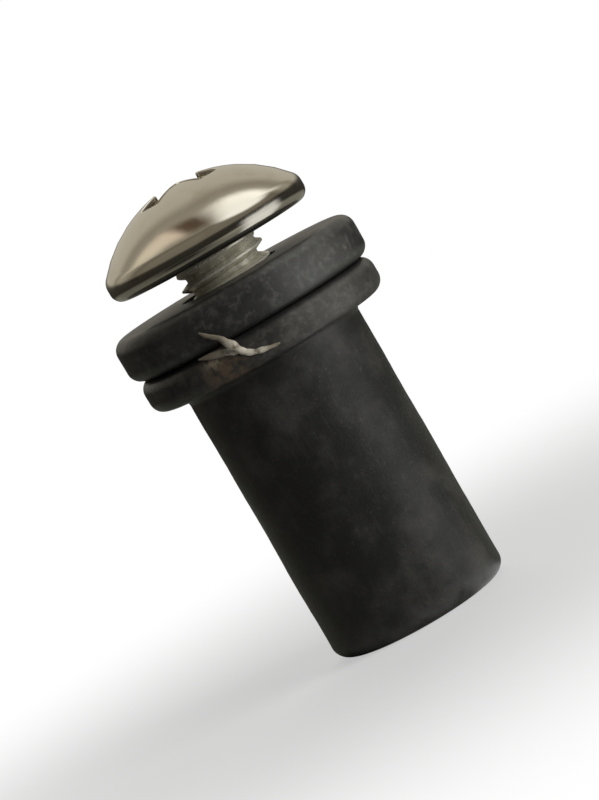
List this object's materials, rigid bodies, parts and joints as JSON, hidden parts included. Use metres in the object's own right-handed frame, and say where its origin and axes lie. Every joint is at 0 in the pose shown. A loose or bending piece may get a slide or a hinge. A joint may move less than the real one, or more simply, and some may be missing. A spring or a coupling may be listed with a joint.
{
  "type": "fairing screw",
  "caption": "Dome-head machine screw with a cross recess and a loose washer, threaded into a flanged rubber sleeve whose brass insert draws up to grip a thin panel.",
  "frame": {"origin": "centre of the sleeve's lower end, on the screw's axis", "axes": "+Z along the screw's axis, from the sleeve's lower end up to the head; X and Y lie along the wings of the head's recess"},
  "size_m": [0.014, 0.014, 0.0255],
  "materials": {
    "sleeve_rubber": "satin, dusty, moulded",
    "insert_brass": "turned",
    "washer_rubber": "satin, smooth, moulded",
    "plated_steel": "bright plated"
  },
  "bodies": {
    "rubber_nut": {"rubber_sleeve": "sleeve_rubber", "brass_insert": "insert_brass"},
    "loose_washer": {"washer": "washer_rubber"},
    "machine_screw": {"screw": "plated_steel"}
  },
  "joints": [
    {"name": "screw_turn", "type": "hinge", "parent": "rubber_nut", "child": "loose_washer", "pos_m": [0, 0, 0.0176], "axis": [0, 0, 1], "range_deg": [-720, 2160]},
    {"name": "screw_feed", "type": "slide", "parent": "loose_washer", "child": "machine_screw", "axis": [0, 0, 1], "range_m": [-0.0016, 0.0048]}
  ],
  "couplings": [
    {"joint": "screw_turn", "follows": "screw_feed", "rad_per_m": 7854}
  ]
}
